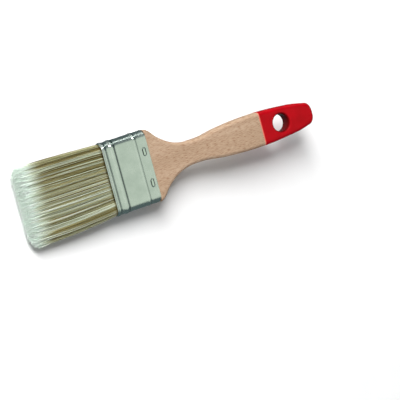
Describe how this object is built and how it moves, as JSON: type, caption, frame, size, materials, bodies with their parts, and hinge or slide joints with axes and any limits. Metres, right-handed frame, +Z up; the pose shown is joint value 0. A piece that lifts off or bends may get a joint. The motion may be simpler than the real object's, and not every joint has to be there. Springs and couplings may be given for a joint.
{
  "type": "flat paint brush",
  "caption": "Flat paint brush with a waisted beech handle, a lacquer-dipped end with a hanging hole, a beaded metal ferrule and a flexing synthetic bristle pack.",
  "frame": {"origin": "centre of the brush's footprint, on the surface that it lies on", "axes": "+X from the bristle tips towards the end of the handle, +Y across the width, +Z up, out of the front face"},
  "size_m": [0.2333, 0.0534, 0.0117],
  "materials": {
    "beech": "raw, fine sanded",
    "red_lacquer": "gloss",
    "tinplate": "satin tinned",
    "staple_wire": "bright",
    "setting_resin": "gloss",
    "plug_wood": "sawn",
    "bristle_root": "packed filaments",
    "bristle": "variegated filaments with pale flagged tips"
  },
  "bodies": {
    "brush": {"handle": "beech", "red_lacquer_dip": "red_lacquer", "ferrule": "tinplate", "staple_front_left": "staple_wire", "staple_front_right": "staple_wire", "staple_back_left": "staple_wire", "staple_back_right": "staple_wire", "resin_setting": "setting_resin", "spacer_plug_front": "plug_wood", "spacer_plug_back": "plug_wood", "bristle_roots_front": "bristle_root", "bristle_roots_middle": "bristle_root", "bristle_roots_back": "bristle_root"},
    "bristles": {"bristle_row_front": "bristle", "bristle_row_middle": "bristle", "bristle_row_back": "bristle"}
  },
  "joints": [
    {"name": "bristle_flex", "type": "hinge", "parent": "brush", "child": "bristles", "pos_m": [-0.052, 0, 0.00585], "axis": [0, 1, 0], "range_deg": [-25, 25], "stiffness_Nm_per_rad": 0.45}
  ]
}
